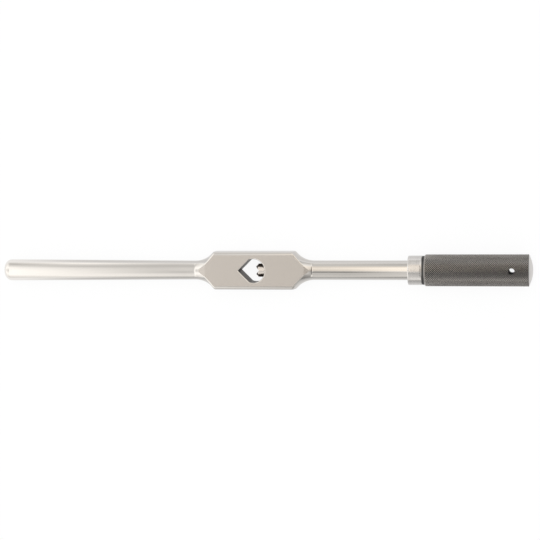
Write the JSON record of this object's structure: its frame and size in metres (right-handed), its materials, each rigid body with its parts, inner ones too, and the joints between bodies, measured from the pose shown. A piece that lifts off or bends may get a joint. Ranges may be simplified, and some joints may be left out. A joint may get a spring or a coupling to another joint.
{
  "type": "tap wrench",
  "caption": "Straight tap wrench: a forged block with a V-jaw window between a plain round handle and an arm whose knurled screw handle moves the sliding jaw rod.",
  "frame": {"origin": "centre of the block, midway between its two ground flats, where the round part of the tap window is centred", "axes": "+X along the tool towards the knurled handle, +Y across the block's width, +Z out of one ground flat along the tap's axis"},
  "size_m": [0.3799, 0.0268, 0.022],
  "materials": {
    "nickel_plate": "polished nickel plate on the round parts, fine satin on the ground flats",
    "satin_nickel": "fine turned satin nickel plate",
    "black_oxide": "black oxide on diamond knurl, worn to grey on the crests",
    "jaw_steel": "hardened and ground steel",
    "plain_steel": "machined, lightly oiled",
    "bronze": "plain bearing bronze"
  },
  "bodies": {
    "body": {"body": "nickel_plate", "guide_pin": "plain_steel"},
    "jaw": {"jaw_rod": "jaw_steel", "thrust_washer": "bronze", "tail_nut": "plain_steel", "nut_pin": "plain_steel"},
    "handle": {"handle_sleeve": "black_oxide", "ferrule": "satin_nickel", "swivel_plate": "plain_steel", "end_cap": "satin_nickel"}
  },
  "joints": [
    {"name": "jaw_slide", "type": "slide", "parent": "body", "child": "jaw", "axis": [1, 0, 0], "range_m": [-0.0085, 0.0015]},
    {"name": "handle_spin", "type": "hinge", "parent": "jaw", "child": "handle", "pos_m": [0.155, 0, 0], "axis": [1, 0, 0], "range_deg": [-2040, 360]}
  ],
  "couplings": [
    {"joint": "handle_spin", "follows": "jaw_slide", "rad_per_m": 4188.8}
  ]
}
